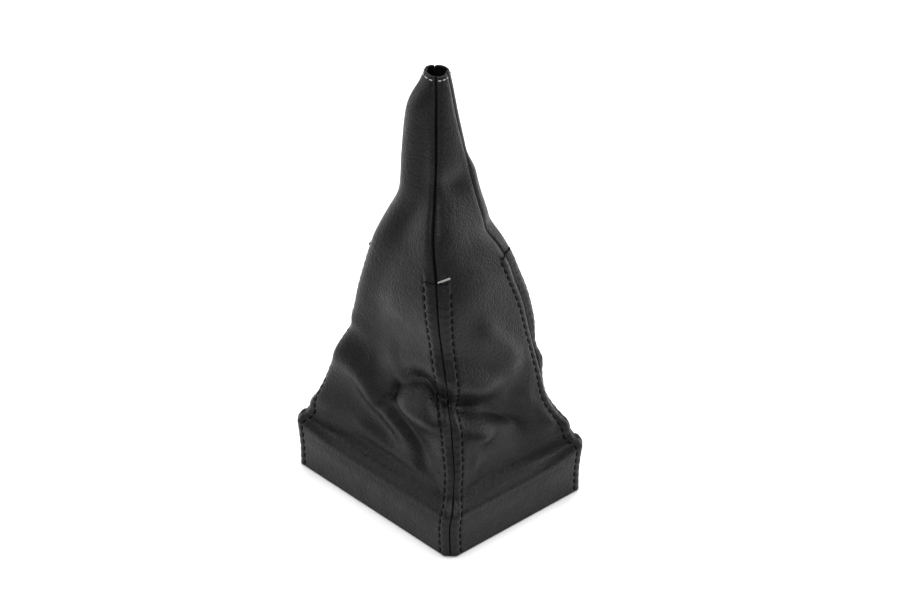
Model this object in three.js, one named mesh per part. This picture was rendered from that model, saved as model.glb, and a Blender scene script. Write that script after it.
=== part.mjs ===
// Gear lever gaiter in grained black leatherette: four sewn panels over a thin rectangular base frame.
// Millimetres, +Z up. The origin is at the middle of the base, on the surface it stands on.
// X runs along the long side. The near corner of the base is at +X, -Y.
// Corners and seams are numbered 0 near, 1 right, 2 far, 3 left, anticlockwise seen from above.

import * as THREE from 'three';

// Overall sizes
const baseLength = 132;
const baseWidth = 104;
const totalHeight = 260;
const skirtHeight = 28;
const rimLength = 12.6;
const rimWidth = 11.2;
const skirtCorner = 10;

// Leather, hems and seams
const leather = 1.0;
const clearance = 0.3;
const hemHeight = 12;
const hemBend = 0.8;
const rimHem = 8;
const allowanceWidth = 8.5;
const openSeamGroove = 1.1;
const pinchedSeamGroove = 2.4;
const rimSeamGroove = 0.9;
const allowanceRise = 0.7;
const allowanceMiddle = 3.8;
const allowanceSpread = 2.4;
const rowDimple = 0.5;
const rowDimpleWidth = 0.8;
const seamLean = 4;
const topstitchEnd = 124;
const rowOffset = 6.7;

// Threads
const threadWidth = 0.8;
const threadThickness = 0.5;
const threadLift = 0.5;
const barTackRise = 0.4;
const tailLength = 6.4;
const tailStart = 2;
const tailRise = 1.2;
const rimStitchDrop = 3;

// Base frame
const frameWall = 2;
const frameTopDrop = 3.4;
const frameCorner = 8;

// The folds are laid out on a gaiter with a 28 mm skirt and 232 mm of cloth above it, and grow with it.
const drawnSkirt = 28;
const drawnCloth = 232;
const clothHeight = totalHeight - skirtHeight;
const foldUnit = clothHeight / drawnCloth;

// Sections from the floor to the rim. In the skirt, level is mm from the skirt's top edge, and in the cloth
// it is the share of the height above the skirt. alongX and alongY say how far the section spreads from the
// rim's size, 0, to the base's, 1. shift moves its middle, round is the reach of its corner's curve and
// crowns are how far each side bows out: front left, front right, back right, back left.
const skirtSections = [
  { level: -drawnSkirt, alongX: 1, alongY: 1, shift: [0, 0], crowns: [0, 0, 0, 0] },
  { level: -16, alongX: 1, alongY: 1, shift: [0, 0], crowns: [0, 0, 0, 0] },
  { level: -6, alongX: 0.998, alongY: 0.998, shift: [0, 0], crowns: [0, 0, 0, 0] },
  { level: -1.8, alongX: 0.99, alongY: 0.988, shift: [0, 0], crowns: [-0.6, -0.6, -0.6, -0.6] },
  { level: 0.3, alongX: 0.967, alongY: 0.957, shift: [0, 0], crowns: [-2, -2, -2, -2] },
];
const clothSections = [
  { level: 0.011, alongX: 0.935, alongY: 0.92, shift: [0, 0], round: 10, crowns: [-3.5, -3.5, -3.5, -3.5] },
  { level: 0.035, alongX: 0.895, alongY: 0.885, shift: [0, 0], round: 11, crowns: [-4.5, -4.5, -4.5, -4.5] },
  { level: 0.078, alongX: 0.855, alongY: 0.85, shift: [0, 0], round: 12, crowns: [-4, -4, -4, -4] },
  { level: 0.138, alongX: 0.795, alongY: 0.785, shift: [-0.8, -1], round: 13, crowns: [-1.5, -1, -1, -1.5] },
  { level: 0.215, alongX: 0.715, alongY: 0.735, shift: [-0.5, -0.8], round: 14, crowns: [1, 1.5, 1.5, 1] },
  { level: 0.31, alongX: 0.6, alongY: 0.67, shift: [0, 0.5], round: 14, crowns: [2.5, 3.5, 3.5, 2.5] },
  { level: 0.418, alongX: 0.51, alongY: 0.605, shift: [0, 0.5], round: 13, crowns: [3, 4, 4, 3] },
  { level: 0.526, alongX: 0.4, alongY: 0.46, shift: [-0.6, -0.4], round: 11, crowns: [3, 4, 4, 3] },
  { level: 0.62, alongX: 0.275, alongY: 0.325, shift: [-1.2, -1], round: 9, crowns: [3, 3, 3, 3] },
  { level: 0.7, alongX: 0.18, alongY: 0.225, shift: [-0.3, -0.3], round: 8, crowns: [2.5, 2.5, 2.5, 2.5] },
  { level: 0.793, alongX: 0.145, alongY: 0.155, shift: [-0.8, -0.8], round: 7, crowns: [2.2, 2.2, 2.2, 2.2] },
  { level: 0.9, alongX: 0.09, alongY: 0.075, shift: [-1.6, -1.2], round: 6, crowns: [2, 2, 2, 2] },
  { level: 0.965, alongX: 0.035, alongY: 0.025, shift: [-1.2, -1], round: 5, crowns: [1.4, 1.4, 1.4, 1.4] },
  { level: 1, alongX: 0, alongY: 0, shift: [-1, -0.6], round: 5, crowns: [1, 1, 1, 1] },
];

// Soft swellings and hollows of the cloth. across is measured along the cloth from the corner's seam,
// positive towards the next corner, and height is above the floor. length and width are how far the swelling
// reaches, angle turns its length up from level, and out and up are how far it pushes the cloth.
const near = 0;
const right = 1;
const far = 2;
const left = 3;
const swellings = [
  { seam: right, across: 0, height: 34, length: 16, width: 8, angle: 0, out: 7, up: 2 },
  { seam: left, across: 0, height: 39, length: 16, width: 9, angle: 0, out: 7, up: 2 },
  { seam: far, across: 0, height: 36, length: 16, width: 9, angle: 0, out: 5, up: 2 },
  { seam: near, across: -28, height: 76, length: 15, width: 9, angle: -15, out: 3, up: 4 },
  { seam: near, across: -52, height: 48, length: 40, width: 9, angle: -12, out: -3.5, up: 0 },
  { seam: near, across: -34, height: 152, length: 24, width: 9, angle: 14, out: 2, up: 0 },
  { seam: near, across: -20, height: 184, length: 22, width: 9, angle: 0, out: -1.5, up: 0 },
  { seam: near, across: -70, height: 95, length: 16, width: 8, angle: -10, out: -2.5, up: 0 },
  { seam: near, across: 29, height: 66, length: 12, width: 7, angle: -15, out: 3, up: 3 },
  { seam: near, across: 20, height: 50, length: 6, width: 14, angle: -10, out: 1.5, up: 0 },
  { seam: near, across: 58, height: 62, length: 18, width: 12, angle: -50, out: -5, up: 0 },
  { seam: near, across: 27, height: 98, length: 18, width: 13, angle: -40, out: -3.5, up: 0 },
  { seam: near, across: 13, height: 196, length: 16, width: 9, angle: 0, out: -1.8, up: 0 },
  { seam: near, across: 14, height: 172, length: 16, width: 9, angle: 0, out: 1.8, up: 0 },
  { seam: right, across: 3, height: 165, length: 10, width: 6, angle: 0, out: -2.5, up: 0 },
  { seam: right, across: 0, height: 146, length: 12, width: 8, angle: 0, out: 1.5, up: 0 },
  { seam: far, across: -58, height: 52, length: 40, width: 9, angle: -12, out: -3.5, up: 0 },
  { seam: far, across: 44, height: 50, length: 34, width: 9, angle: 12, out: -3, up: 0 },
];

// Creases and ridges along a line of points, each [across, height]
const creases = [
  {
    seam: near,
    line: [[-50, 68], [-46, 77], [-35, 86], [-20, 91], [-6, 89], [8, 80], [22, 74], [40, 70]],
    width: 8,
    out: -8,
    up: 0,
  },
  {
    seam: near,
    line: [[-44, 101], [-20, 108], [0, 106], [14, 98], [30, 92], [42, 88]],
    width: 11,
    out: 4,
    up: -1,
  },
  { seam: near, line: [[-50, 68], [-38, 64], [-25, 57], [-16, 47]], width: 5, out: -4, up: 0 },
  { seam: near, line: [[-92, 86], [-74, 75], [-62, 67], [-48, 58], [-34, 50]], width: 8, out: 5, up: 1.5 },
  { seam: near, line: [[-82, 39], [-50, 37], [-16, 33]], width: 5, out: 2.2, up: 1.2 },
  { seam: near, line: [[-84, 108], [-72, 105], [-60, 100]], width: 4.5, out: 2.2, up: 0 },
  { seam: near, line: [[60, 68], [70, 56], [77, 42]], width: 3.5, out: 3, up: 0 },
  { seam: near, line: [[30, 116], [42, 104], [52, 94]], width: 5.5, out: 3.2, up: 0 },
  { seam: far, line: [[-50, 84], [-34, 92], [-12, 94], [6, 88], [26, 82]], width: 6, out: -6, up: 0 },
  { seam: far, line: [[-52, 96], [-34, 104], [-12, 106], [8, 100], [28, 93]], width: 10, out: 4, up: -3 },
  { seam: far, line: [[-92, 80], [-70, 72], [-48, 62], [-30, 52]], width: 8, out: 4.5, up: 1.5 },
  { seam: far, line: [[30, 54], [52, 62], [74, 76]], width: 7, out: 4, up: 1 },
];

// Each panel runs from one seam to the next and faces outward.
const panels = [
  { name: 'panel_front_left', from: left, to: near, outward: [0, -1], middleColumns: 7 },
  { name: 'panel_front_right', from: near, to: right, outward: [1, 0], middleColumns: 5 },
  { name: 'panel_back_right', from: right, to: far, outward: [0, 1], middleColumns: 4 },
  { name: 'panel_back_left', from: far, to: left, outward: [-1, 0], middleColumns: 4 },
];
const seamSides = [[1, -1], [1, 1], [-1, 1], [-1, -1]];
const seamSlides = [0, -1, 0, 1];
const seamNames = ['near', 'right', 'far', 'left'];

const smooth = (from, to, x) => {
  const share = Math.min(Math.max((x - from) / (to - from), 0), 1);
  return share * share * (3 - 2 * share);
};

// Smooth curve through values at knots, with slopes taken from the neighbours.
function curve(knots, values, at) {
  const last = knots.length - 1;
  const x = Math.min(Math.max(at, knots[0]), knots[last]);
  let i = 0;
  while (i < last - 1 && x >= knots[i + 1]) i += 1;
  const step = (k) => (values[k + 1] - values[k]) / (knots[k + 1] - knots[k]);
  const slope = (k) => {
    if (k === 0) return step(0);
    if (k === last) return step(last - 1);
    const before = knots[k] - knots[k - 1];
    const after = knots[k + 1] - knots[k];
    return (step(k - 1) * after + step(k) * before) / (before + after);
  };
  const span = knots[i + 1] - knots[i];
  const t = (x - knots[i]) / span;
  return (1 + 2 * t) * (1 - t) ** 2 * values[i] + t * (1 - t) ** 2 * span * slope(i)
    + t * t * (3 - 2 * t) * values[i + 1] + t * t * (t - 1) * span * slope(i + 1);
}

// The section table in millimetres, with the length of path up to each section.
const sections = [
  ...skirtSections.map((s, i) => ({
    ...s,
    z: i === 0 ? 0 : skirtHeight + s.level,
    drawn: drawnSkirt + s.level,
    round: skirtCorner,
  })),
  ...clothSections.map((s) => ({
    ...s,
    z: skirtHeight + s.level * clothHeight,
    drawn: drawnSkirt + s.level * drawnCloth,
  })),
].map((s) => ({
  ...s,
  halfX: rimLength / 2 + s.alongX * (baseLength - rimLength) / 2,
  halfY: rimWidth / 2 + s.alongY * (baseWidth - rimWidth) / 2,
}));
const path = [0];
for (let i = 1; i < sections.length; i += 1) {
  const a = sections[i - 1];
  const b = sections[i];
  path.push(path[i - 1] + Math.hypot(b.z - a.z, b.halfX - a.halfX, b.halfY - a.halfY));
}
const pathEnd = path[path.length - 1];
const tracks = {
  z: sections.map((s) => s.z),
  drawn: sections.map((s) => s.drawn),
  halfX: sections.map((s) => s.halfX),
  halfY: sections.map((s) => s.halfY),
  shiftX: sections.map((s) => s.shift[0]),
  shiftY: sections.map((s) => s.shift[1]),
  round: sections.map((s) => s.round),
};
const crownTracks = [0, 1, 2, 3].map((side) => sections.map((s) => s.crowns[side]));

function sectionAt(v, side) {
  const section = { crown: curve(path, crownTracks[side], v) };
  for (const [name, values] of Object.entries(tracks)) section[name] = curve(path, values, v);
  return section;
}

// Path value whose section lies at height z, by halving: heights rise all the way up the path.
const halvings = 40;
function pathAtHeight(z) {
  let low = 0;
  let high = pathEnd;
  for (let i = 0; i < halvings; i += 1) {
    const middle = (low + high) / 2;
    if (curve(path, tracks.z, middle) < z) low = middle;
    else high = middle;
  }
  return (low + high) / 2;
}

// The right and left seams lean towards the front between these heights, less where the gaiter is narrow.
const leanStart = 60;
const leanFull = 150;
const leanHalfX = 22;

// Point of a straight-sided section with curved corners, s from 0 to 1 along the side.
function sectionPoint(side, s, section) {
  const { from, to, outward } = panels[side];
  const lean = seamLean * smooth(leanStart, leanFull, section.drawn) * Math.min(1, section.halfX / leanHalfX);
  const corner = (k) => [
    section.shiftX + seamSides[k][0] * section.halfX,
    section.shiftY + seamSides[k][1] * section.halfY + seamSlides[k] * lean,
  ];
  const start = corner(from);
  const end = corner(to);
  const sideLength = 2 * (side % 2 === 0 ? section.halfX : section.halfY);
  const bow = section.crown * 4 * s * (1 - s);
  const point = [0, 1].map((k) => start[k] + (end[k] - start[k]) * s + outward[k] * bow);
  const ends = [[s * sideLength, 1], [(1 - s) * sideLength, -1]];
  for (const [distance, sign] of ends) {
    const cut = Math.max(section.round - distance, 0) ** 2 / (4 * section.round);
    for (const k of [0, 1]) {
      const along = (seamSides[to][k] - seamSides[from][k]) / 2;
      point[k] += cut * (sign * along - outward[k]);
    }
  }
  return { x: point[0], y: point[1], sideLength };
}

// How far the folds push the cloth out and up at a place on a panel. A crease keeps this share of its
// depth at its two ends.
const creaseEnd = 0.35;
function foldPush(side, s, sideLength, height) {
  const { from, to } = panels[side];
  const push = { out: 0, up: 0 };
  const acrossFrom = (seam) => {
    if (seam === from) return s * sideLength / foldUnit;
    if (seam === to) return -(1 - s) * sideLength / foldUnit;
    return null;
  };
  for (const fold of swellings) {
    const across = acrossFrom(fold.seam);
    if (across === null) continue;
    const turn = fold.angle * Math.PI / 180;
    const du = across - fold.across;
    const dz = height - fold.height;
    const along = (du * Math.cos(turn) + dz * Math.sin(turn)) / fold.length;
    const over = (dz * Math.cos(turn) - du * Math.sin(turn)) / fold.width;
    const weight = Math.exp(-along * along - over * over);
    push.out += fold.out * weight;
    push.up += fold.up * weight;
  }
  for (const fold of creases) {
    const across = acrossFrom(fold.seam);
    if (across === null) continue;
    const lengths = fold.line.slice(1).map((p, i) => Math.hypot(p[0] - fold.line[i][0], p[1] - fold.line[i][1]));
    const whole = lengths.reduce((sum, length) => sum + length, 0);
    let nearest = Infinity;
    let where = 0;
    let run = 0;
    lengths.forEach((length, i) => {
      const [ax, az] = fold.line[i];
      const [bx, bz] = fold.line[i + 1];
      const share = ((across - ax) * (bx - ax) + (height - az) * (bz - az)) / length ** 2;
      const t = Math.min(Math.max(share, 0), 1);
      const gap = Math.hypot(across - ax - t * (bx - ax), height - az - t * (bz - az));
      if (gap < nearest) {
        nearest = gap;
        where = (run + t * length) / whole;
      }
      run += length;
    });
    const fade = creaseEnd + (1 - creaseEnd) * Math.sqrt(Math.sin(Math.PI * where));
    const weight = Math.exp(-((nearest / fold.width) ** 2)) * fade;
    push.out += fold.out * weight;
    push.up += fold.up * weight;
  }
  return { out: push.out * foldUnit, up: push.up * foldUnit };
}

// Cloth surface before its seams are pressed in.
function clothPoint(side, s, v) {
  const section = sectionAt(v, side);
  const { x, y, sideLength } = sectionPoint(side, s, section);
  const push = foldPush(side, s, sideLength, section.drawn);
  const awayX = x - section.shiftX;
  const awayY = y - section.shiftY;
  const away = Math.max(Math.hypot(awayX, awayY), 1e-6);
  const place = new THREE.Vector3(
    x + push.out * awayX / away,
    y + push.out * awayY / away,
    section.z + push.up,
  );
  return { place, sideLength, z: section.z };
}

const normalStepAcross = 1e-3;
const normalStepUp = 0.3;

function clothNormal(side, s, v) {
  const at = (a, b) => clothPoint(side, Math.min(Math.max(a, 0), 1), Math.min(Math.max(b, 0), pathEnd)).place;
  const across = at(s + normalStepAcross, v).sub(at(s - normalStepAcross, v));
  const up = at(s, v + normalStepUp).sub(at(s, v - normalStepUp));
  return across.cross(up).normalize();
}

// The two panels that meet at a seam share one normal there.
const seamNormals = new Map();
function seamNormal(seam, v) {
  const key = `${seam} ${v.toFixed(4)}`;
  if (!seamNormals.has(key)) {
    const before = panels.findIndex((panel) => panel.to === seam);
    const after = panels.findIndex((panel) => panel.from === seam);
    seamNormals.set(key, clothNormal(before, 1, v).add(clothNormal(after, 0, v)).normalize());
  }
  return seamNormals.get(key);
}

// How deep the outer face lies under the cloth's surface: the panel rolls into its seam in a quarter round,
// stands up over the seam allowance and dips at the topstitching. Above the topstitching the seam is
// pinched, which is deeper, and it grows shallow again towards the rim.
const topstitchTop = skirtHeight + topstitchEnd;
const pinchRun = 8;
const shallowRun = 32;
function outerDepth(distance, z) {
  const pinched = smooth(topstitchTop - pinchRun / 4, topstitchTop + 3 * pinchRun / 4, z);
  const nearRim = smooth(totalHeight - shallowRun, totalHeight, z);
  const full = pinchedSeamGroove + (rimSeamGroove - pinchedSeamGroove) * nearRim;
  const groove = openSeamGroove + (full - openSeamGroove) * pinched;
  const within = Math.max(1 - distance / groove, 0);
  const roll = groove * (1 - Math.sqrt(1 - within * within));
  const bell = (middle, width) => Math.exp(-(((distance - middle) / width) ** 2));
  const raised = allowanceRise * bell(allowanceMiddle, allowanceSpread);
  const dimple = rowDimple * bell(rowOffset, rowDimpleWidth);
  return roll + (1 - pinched) * (dimple - raised);
}

// How deep the inner face lies: one layer of leather, or two at the seam allowances and the rim's hem.
const layerStep = 1;
const thinnest = 0.8 * leather;
function innerDepth(distance, z, outer) {
  const allowance = 1 - smooth(allowanceWidth - layerStep, allowanceWidth + layerStep, distance);
  const hem = smooth(totalHeight - rimHem - layerStep, totalHeight - rimHem + layerStep, z);
  const layers = 1 + Math.max(allowance, hem);
  return Math.max(leather * layers, outer + thinnest);
}

// Outer and inner point of the leather. Its faces turn to the shared normal close to a seam, and the
// panel's edge stops half the clearance short of the seam.
const sharedReach = 5;
const edgeStep = 0.02;
function leatherPoints(side, s, v) {
  const { from, to } = panels[side];
  const { place, sideLength, z } = clothPoint(side, s, v);
  const normal = clothNormal(side, s, v);
  const seams = [[from, s * sideLength], [to, (1 - s) * sideLength]];
  let depth = 0;
  for (const [seam, distance] of seams) {
    const share = 1 - smooth(0, sharedReach, distance);
    if (share > 0) normal.lerp(seamNormal(seam, v), share);
    depth += outerDepth(distance, z);
  }
  normal.normalize();
  const nearestSeam = Math.min(s, 1 - s) * sideLength;
  const outer = place.clone().addScaledVector(normal, -depth);
  const inner = place.clone().addScaledVector(normal, -innerDepth(nearestSeam, z, depth));
  if (s === 0 || s === 1) {
    const inside = s === 0 ? edgeStep : 1 - edgeStep;
    const toward = clothPoint(side, inside, v).place.sub(place);
    toward.addScaledVector(normal, -toward.dot(normal)).normalize();
    outer.addScaledVector(toward, clearance / 2);
    inner.addScaledVector(toward, clearance / 2);
  }
  return { outer, inner, normal };
}

// Rows of the panel meshes, closer together where the cloth is folded: heights in the skirt, and shares of
// the height above it.
const skirtRows = [hemBend, ...skirtSections.slice(1).map((section) => skirtHeight + section.level)];
const topstitchShare = topstitchEnd / clothHeight;
const clothRows = [
  0.011, 0.03, 0.055, 0.082, 0.106, 0.13, 0.155, 0.18, 0.202, 0.224, 0.246, 0.27, 0.295, 0.322, 0.352,
  0.39, 0.43, 0.475, topstitchShare, 0.558, 0.59, 0.63, 0.68, 0.73, 0.79, 0.85, 0.91, 0.96, 1,
].sort((a, b) => a - b);
const rowPaths = [...skirtRows, ...clothRows.map((share) => skirtHeight + share * clothHeight)].map(pathAtHeight);
const topstitchRow = skirtRows.length + clothRows.indexOf(topstitchShare);

// Columns: fixed distances from each seam, squeezed where the panel is narrow, and an even middle.
const middleStart = 11;
const seamColumns = [0, openSeamGroove, allowanceMiddle, rowOffset, middleStart];
const seamShares = [0, 0.07, 0.16, 0.25, 0.34];
const rowColumn = seamColumns.indexOf(rowOffset);

function columnShares(side, v) {
  const { sideLength } = clothPoint(side, 0.5, v);
  const starts = seamColumns.map((distance, i) => Math.min(distance / sideLength, seamShares[i]));
  const edge = starts[starts.length - 1];
  const count = panels[side].middleColumns;
  const middle = Array.from({ length: count }, (_, i) => edge + (1 - 2 * edge) * (i + 1) / (count + 1));
  return [...starts, ...middle, ...starts.map((share) => 1 - share).reverse()];
}

// Hem rows: inset from the skirt's face and height, for the leather's outer and inner faces. The hem runs
// under the base frame and up behind it, with a small bend at each turn.
const innerBend = clearance / 2;
const flapInset = 2 * leather + 2 * clearance + frameWall;
const hemRows = [
  { outer: [flapInset + leather, hemHeight], inner: [flapInset, hemHeight] },
  { outer: [flapInset + leather, hemBend], inner: [flapInset, leather + innerBend] },
  { outer: [flapInset + leather - hemBend, 0], inner: [flapInset - innerBend, leather] },
  { outer: [hemBend, 0], inner: [2 * leather + innerBend, leather] },
];

// The corners of the hem tighten more slowly than it steps in, so that they clear the frame's.
const cornerTightening = 0.6;
const smallestCorner = 3;
function hemPoint(side, s, [inset, z]) {
  const section = sectionAt(0, side);
  section.halfX -= inset;
  section.halfY -= inset;
  section.round = Math.max(section.round - cornerTightening * inset, smallestCorner);
  const { x, y } = sectionPoint(side, s, section);
  const point = new THREE.Vector3(x, y, z);
  if (s === 0 || s === 1) {
    const { from, to } = panels[side];
    const mitre = seamSides[s === 0 ? from : to];
    const along = [0, 1].map((k) => (seamSides[to][k] - seamSides[from][k]) / 2 * (s === 0 ? 1 : -1));
    const away = new THREE.Vector2(mitre[1], -mitre[0]).normalize();
    if (away.x * along[0] + away.y * along[1] < 0) away.negate();
    point.x += away.x * clearance / 2;
    point.y += away.y * clearance / 2;
  }
  return point;
}

// Closed solid between two matching grids of points.
function gridSolid(outer, inner) {
  const rows = outer.length;
  const cols = outer[0].length;
  const positions = [];
  for (const grid of [outer, inner]) {
    for (const row of grid) {
      for (const p of row) positions.push(p.x, p.y, p.z);
    }
  }
  const at = (layer, i, j) => layer * rows * cols + i * cols + j;
  const index = [];
  const quad = (a, b, c, d) => index.push(a, b, c, a, c, d);
  for (let i = 0; i < rows - 1; i += 1) {
    for (let j = 0; j < cols - 1; j += 1) {
      quad(at(0, i, j), at(0, i, j + 1), at(0, i + 1, j + 1), at(0, i + 1, j));
      quad(at(1, i, j), at(1, i + 1, j), at(1, i + 1, j + 1), at(1, i, j + 1));
    }
  }
  for (let j = 0; j < cols - 1; j += 1) {
    quad(at(1, 0, j), at(1, 0, j + 1), at(0, 0, j + 1), at(0, 0, j));
    quad(at(0, rows - 1, j), at(0, rows - 1, j + 1), at(1, rows - 1, j + 1), at(1, rows - 1, j));
  }
  for (let i = 0; i < rows - 1; i += 1) {
    quad(at(0, i, 0), at(0, i + 1, 0), at(1, i + 1, 0), at(1, i, 0));
    quad(at(0, i + 1, cols - 1), at(0, i, cols - 1), at(1, i, cols - 1), at(1, i + 1, cols - 1));
  }
  const geometry = new THREE.BufferGeometry();
  geometry.setAttribute('position', new THREE.Float32BufferAttribute(positions, 3));
  geometry.setIndex(index);
  geometry.computeVertexNormals();
  return geometry;
}

// Grid of one panel: the turned-in hem, then the skirt and cloth up to the rim.
function panelGrid(side) {
  const hemShares = columnShares(side, 0);
  const outer = hemRows.map((row) => hemShares.map((s) => hemPoint(side, s, row.outer)));
  const inner = hemRows.map((row) => hemShares.map((s) => hemPoint(side, s, row.inner)));
  const normals = [];
  for (const v of rowPaths) {
    const points = columnShares(side, v).map((s) => leatherPoints(side, s, v));
    outer.push(points.map((p) => p.outer));
    inner.push(points.map((p) => p.inner));
    normals.push(points.map((p) => p.normal));
  }
  return { outer, inner, normals };
}

// Thread laid through places on the leather, each a point and a normal, and lifted off it. It is flat
// below, with a ridge on top.
function threadSolid(places, lift, closed = false) {
  const count = places.length;
  const rings = places.map(({ point, normal }, i) => {
    const before = places[closed ? (i + count - 1) % count : Math.max(i - 1, 0)];
    const after = places[closed ? (i + 1) % count : Math.min(i + 1, count - 1)];
    const along = after.point.clone().sub(before.point).normalize();
    const up = normal.clone().addScaledVector(along, -normal.dot(along)).normalize();
    const across = along.clone().cross(up).multiplyScalar(threadWidth / 2);
    const low = point.clone().addScaledVector(up, lift);
    const high = low.clone().addScaledVector(up, threadThickness);
    return [low.clone().sub(across), low.clone().add(across), high];
  });
  const positions = rings.flat().flatMap((p) => [p.x, p.y, p.z]);
  const index = [];
  const quad = (a, b, c, d) => index.push(a, b, c, a, c, d);
  const steps = closed ? count : count - 1;
  for (let i = 0; i < steps; i += 1) {
    const a = 3 * i;
    const b = 3 * ((i + 1) % count);
    for (let k = 0; k < 3; k += 1) {
      const next = (k + 1) % 3;
      quad(a + k, b + k, b + next, a + next);
    }
  }
  if (!closed) {
    const end = 3 * (count - 1);
    index.push(0, 1, 2);
    index.push(end + 2, end + 1, end);
  }
  const geometry = new THREE.BufferGeometry();
  geometry.setAttribute('position', new THREE.Float32BufferAttribute(positions, 3));
  geometry.setIndex(index);
  geometry.computeVertexNormals();
  return geometry;
}

const leatherFinish = () => new THREE.MeshStandardMaterial({ color: 0x1b1b1c, roughness: 0.55, metalness: 0 });
const blackThread = () => new THREE.MeshStandardMaterial({ color: 0x0a0a0b, roughness: 0.8, metalness: 0 });
const paleThread = () => new THREE.MeshStandardMaterial({ color: 0xb9b7b2, roughness: 0.8, metalness: 0 });
const framePlastic = () => new THREE.MeshStandardMaterial({ color: 0x151515, roughness: 0.45, metalness: 0 });

const gaiter = new THREE.Group();
function add(name, geometry, material) {
  const mesh = new THREE.Mesh(geometry, material);
  mesh.name = name;
  gaiter.add(mesh);
}

const grids = panels.map((panel, side) => panelGrid(side));
panels.forEach((panel, side) => add(panel.name, gridSolid(grids[side].outer, grids[side].inner), leatherFinish()));

// Point on a panel's outer face between two rows of its grid
const hemCount = hemRows.length;
function onGrid(side, row, col) {
  return { point: grids[side].outer[hemCount + row][col], normal: grids[side].normals[row][col] };
}
function between(side, row, share, col) {
  const a = onGrid(side, row, col);
  const b = onGrid(side, row + 1, col);
  return { point: a.point.clone().lerp(b.point, share), normal: a.normal.clone().lerp(b.normal, share).normalize() };
}

// A row of black topstitching on each side of each seam, from just above the floor to the bar tack
const rowStart = 0.15;
const rowStop = 0.85;
const rowNames = [
  ['topstitch_left_front', 'topstitch_near_left'],
  ['topstitch_near_right', 'topstitch_right_front'],
  ['topstitch_right_back', 'topstitch_far_right'],
  ['topstitch_far_left', 'topstitch_left_back'],
];
panels.forEach((panel, side) => {
  const lastColumn = grids[side].outer[0].length - 1;
  [rowColumn, lastColumn - rowColumn].forEach((col, end) => {
    const places = [between(side, 0, rowStart, col)];
    for (let row = 1; row < topstitchRow; row += 1) places.push(onGrid(side, row, col));
    places.push(between(side, topstitchRow - 1, rowStop, col));
    add(rowNames[side][end], threadSolid(places, threadLift), blackThread());
  });
});

// A bar tack closes each pair of rows, and a seam thread joins the two panels on the inside.
const tackRow = curve(path, tracks.z, rowPaths[topstitchRow + 1]) - topstitchTop;
seamNames.forEach((name, seam) => {
  const before = panels.findIndex((panel) => panel.to === seam);
  const after = panels.findIndex((panel) => panel.from === seam);
  const last = grids[before].outer[0].length - 1;
  const rise = barTackRise / tackRow;
  const tack = [];
  for (let k = rowColumn; k > 0; k -= 1) tack.push(between(before, topstitchRow, rise, last - k));
  for (let k = 1; k <= rowColumn; k += 1) tack.push(between(after, topstitchRow, rise, k));
  add(`bar_tack_${name}`, threadSolid(tack, threadLift), blackThread());
  const inside = rowPaths.slice(skirtRows.length, -2).map((v, i) => {
    const row = hemCount + skirtRows.length + i;
    const point = grids[after].inner[row][0].clone().lerp(grids[before].inner[row][last], 0.5);
    return { point, normal: seamNormal(seam, v).clone().negate() };
  });
  add(`seam_thread_${name}`, threadSolid(inside, threadLift + clearance), blackThread());
});

// The pale end of the bottom thread lies loose above the near bar tack.
{
  const side = panels.findIndex((panel) => panel.from === near);
  const low = between(side, topstitchRow, tailStart / tackRow, 1);
  const high = between(side, topstitchRow, (tailStart + tailRise) / tackRow, rowColumn);
  const run = high.point.clone().sub(low.point).setLength(tailLength);
  const end = { point: low.point.clone().add(run), normal: high.normal };
  add('thread_tail', threadSolid([low, end], threadLift + clearance), paleThread());
}

// One pale row of stitching holds the rim's hem.
{
  const row = rowPaths.length - 2;
  const gap = totalHeight - curve(path, tracks.z, rowPaths[row]);
  const places = panels.flatMap((panel, side) => {
    const last = grids[side].outer[0].length - 1;
    return Array.from({ length: last - 1 }, (_, k) => between(side, row, 1 - rimStitchDrop / gap, k + 1));
  });
  add('rim_stitching', threadSolid(places, threadLift, true), paleThread());
}

// Thin frame that keeps the skirt square, between the skirt and its turned-in hem
{
  const inset = 2 * leather + clearance;
  const outline = (length, width, radius) => {
    const shape = new THREE.Path();
    const x = length / 2;
    const y = width / 2;
    shape.moveTo(-x + radius, -y);
    shape.lineTo(x - radius, -y);
    shape.absarc(x - radius, -y + radius, radius, -Math.PI / 2, 0, false);
    shape.lineTo(x, y - radius);
    shape.absarc(x - radius, y - radius, radius, 0, Math.PI / 2, false);
    shape.lineTo(-x + radius, y);
    shape.absarc(-x + radius, y - radius, radius, Math.PI / 2, Math.PI, false);
    shape.lineTo(-x, -y + radius);
    shape.absarc(-x + radius, -y + radius, radius, Math.PI, 1.5 * Math.PI, false);
    return shape;
  };
  const cornerSteps = 6;
  const outside = outline(baseLength - 2 * inset, baseWidth - 2 * inset, frameCorner);
  const ring = new THREE.Shape(outside.getPoints(cornerSteps));
  const innerLength = baseLength - 2 * (inset + frameWall);
  const innerWidth = baseWidth - 2 * (inset + frameWall);
  const inside = outline(innerLength, innerWidth, frameCorner - frameWall);
  ring.holes.push(new THREE.Path(inside.getPoints(cornerSteps)));
  const bottom = leather + clearance;
  const geometry = new THREE.ExtrudeGeometry(ring, {
    depth: skirtHeight - frameTopDrop - bottom,
    bevelEnabled: false,
    steps: 1,
  });
  geometry.translate(0, 0, bottom);
  add('base_frame', geometry, framePlastic());
}

export default gaiter;
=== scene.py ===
"""Gear lever gaiter: four sewn leatherette panels with topstitching, on a plain studio floor."""

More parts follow.
